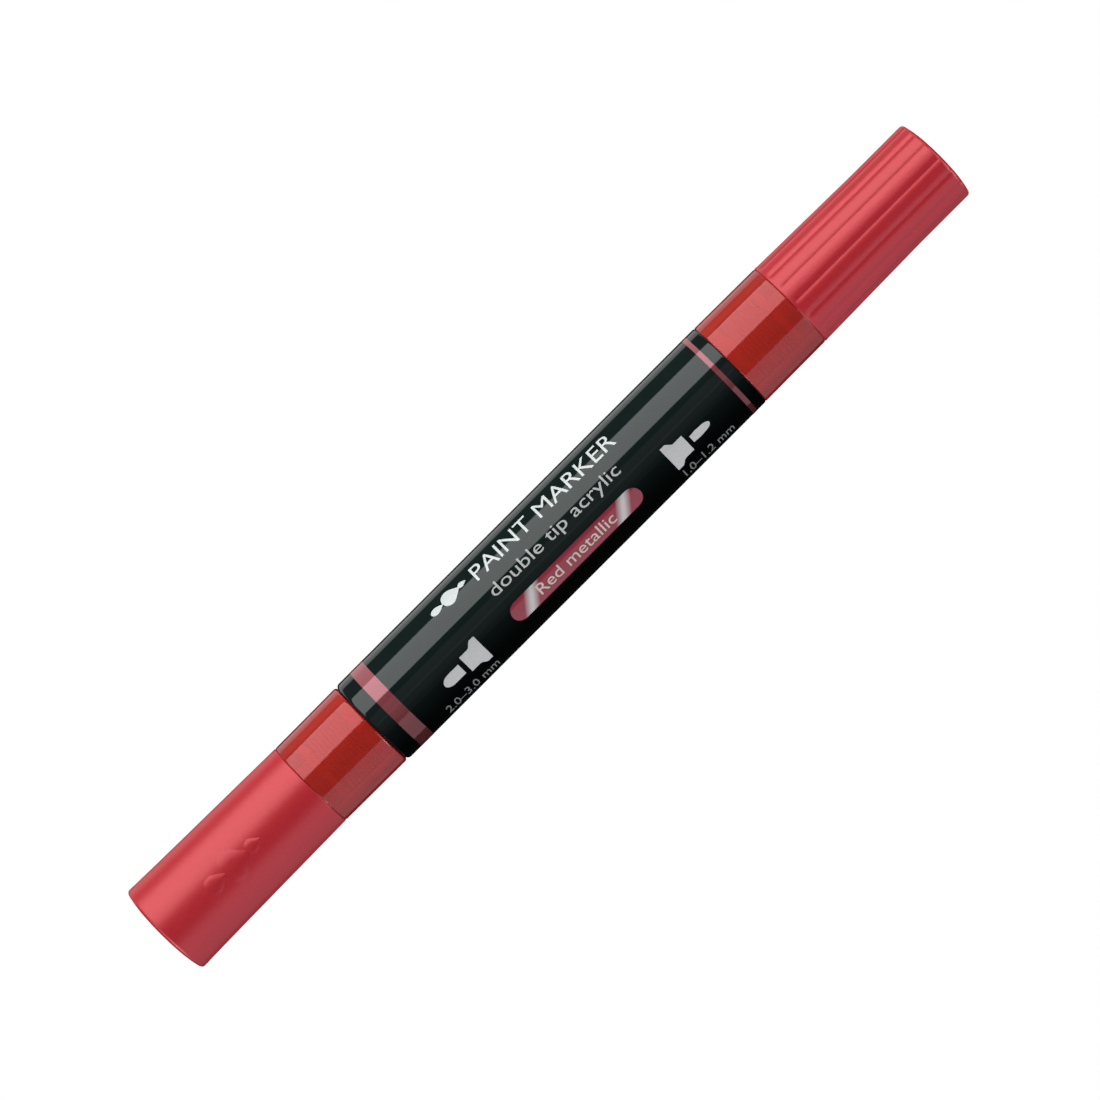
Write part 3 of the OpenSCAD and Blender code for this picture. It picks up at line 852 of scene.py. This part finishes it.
pieces = [o for o in bpy.data.objects if o.type == "MESH"]
barrel_pieces = [o for o in pieces if o.name == "barrel_tube"]
band_pieces = [o for o in pieces if o.name.endswith("_band")]
shell_pieces = [o for o in pieces if o.get("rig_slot") in ("section_clear_red", "cap_metal_red")]
print_pieces = [o for o in pieces if o.get("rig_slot") == "barrel_black" and
                o not in barrel_pieces + band_pieces]
seen_through = [o for o in pieces if o.get("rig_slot") == "section_clear_red"]
inner_pieces = [o for o in pieces if o not in
                barrel_pieces + band_pieces + shell_pieces + print_pieces]

# The key, in its own range for the barrel, the caps and sections, and what is inside.
shine_only_on(softbox("key_softbox", 1, 26, 75, 2.65, (0.95, 1.0, 0.99)), "near_the_barrel",
              barrel_pieces + band_pieces + print_pieces)
shine_only_on(softbox("wide_key_softbox", 1, 19, 86, 3.10), "shells", shell_pieces)
shine_only_on(softbox("inner_key_softbox", 1, 19, 86, 1.6), "inside", inner_pieces, seen_through)
shine_only_on(softbox("inner_top_softbox", -1, 0, 50, 2.6), "inside_top", inner_pieces,
              seen_through)
# The far side, and a rim on everything.
shine_only_on(softbox("side_softbox", 1, 86, 119, 0.18), "shells_side",
              shell_pieces + inner_pieces)
softbox("rim_softbox", 1, 119, 151, 0.85)
# The near side: cool strips that fade toward the floor.
COOL = (0.95, 1.02, 1.16)
low_strips = [(42, 80, 0.98), (80, 95, 0.84), (95, 108, 0.66), (108, 120, 0.50),
              (120, 131, 0.37), (131, 142, 0.27)]
for number, (low, high, radiance) in enumerate(low_strips):
    shine_only_on(softbox(f"low_softbox_{number}", -1, low, high, radiance, COOL),
                  f"all_but_the_barrel_{number}", shell_pieces + inner_pieces + print_pieces)
shine_only_on(softbox("band_softbox", -1, 42, 105, 0.45), "bands", band_pieces)
shine_only_on(softbox("band_side_softbox", 1, 75, 119, 0.75), "bands_side", band_pieces)
# A weak glow on the top of the barrel, in three steps.
top_strips = [(-14, 10, 0.14), (-30, -10, 0.10), (-42, -30, 0.05)]
for number, (low, high, radiance) in enumerate(top_strips):
    shine_only_on(softbox(f"top_softbox_{number}", 1, low, high, radiance), f"barrel_top_{number}",
                  barrel_pieces + band_pieces + print_pieces)


def end_light(name, place, size, radiance, pieces):
    """A square light aimed at the marker from beyond one of its ends."""
    data = bpy.data.lights.new(name, "AREA")
    data.size = size
    data.energy = radiance * math.pi * size ** 2
    light = bpy.data.objects.new(name, data)
    light.location = place
    direction = mathutils.Vector((0, 0, AXIS_Z)) - light.location
    light.rotation_euler = direction.to_track_quat("-Z", "Y").to_euler()
    light.visible_camera = False
    bpy.context.scene.collection.objects.link(light)
    shine_only_on(light, name + "_lit", pieces)


for side, end in ((-1, "broad"), (1, "fine")):
    end_light(end + "_end_fill", (0.75 * side, -0.45, 0.16), 0.5, 4.6,
              shell_pieces + inner_pieces + print_pieces)
    end_light(end + "_end_face", (0.85 * side, 0.0, 0.04), 0.6, 1.6,
              [o for o in shell_pieces if "cap" in o.name])

world = bpy.data.worlds.new("studio")
world.use_nodes = True
bpy.context.scene.world = world
background = world.node_tree.nodes["Background"]
ray = world.node_tree.nodes.new("ShaderNodeLightPath")
shade = world.node_tree.nodes.new("ShaderNodeMix")
shade.data_type = "RGBA"
shade.inputs["A"].default_value = (0.008, 0.008, 0.008, 1)
shade.inputs["B"].default_value = (1, 1, 1, 1)
world.node_tree.links.new(ray.outputs["Is Camera Ray"], shade.inputs["Factor"])
world.node_tree.links.new(shade.outputs["Result"], background.inputs["Color"])

deselect_objects()
bpy.ops.mesh.primitive_plane_add(size=6, location=(0, 0, 0))
floor = bpy.context.object
floor.name = "floor"
floor_finish = Finish("pale_floor", Roughness=0.9)
floor_finish.shader.inputs["Base Color"].default_value = (0.9, 0.9, 0.9, 1)
floor_finish.shader.inputs["Emission Color"].default_value = (1, 1, 1, 1)
floor_finish.shader.inputs["Emission Strength"].default_value = 1.0
floor.data.materials.append(floor_finish.material)
floor.visible_glossy = False
floor.visible_diffuse = False
floor.visible_transmission = False
floor.visible_shadow = False

bpy.context.scene.view_settings.view_transform = "Standard"
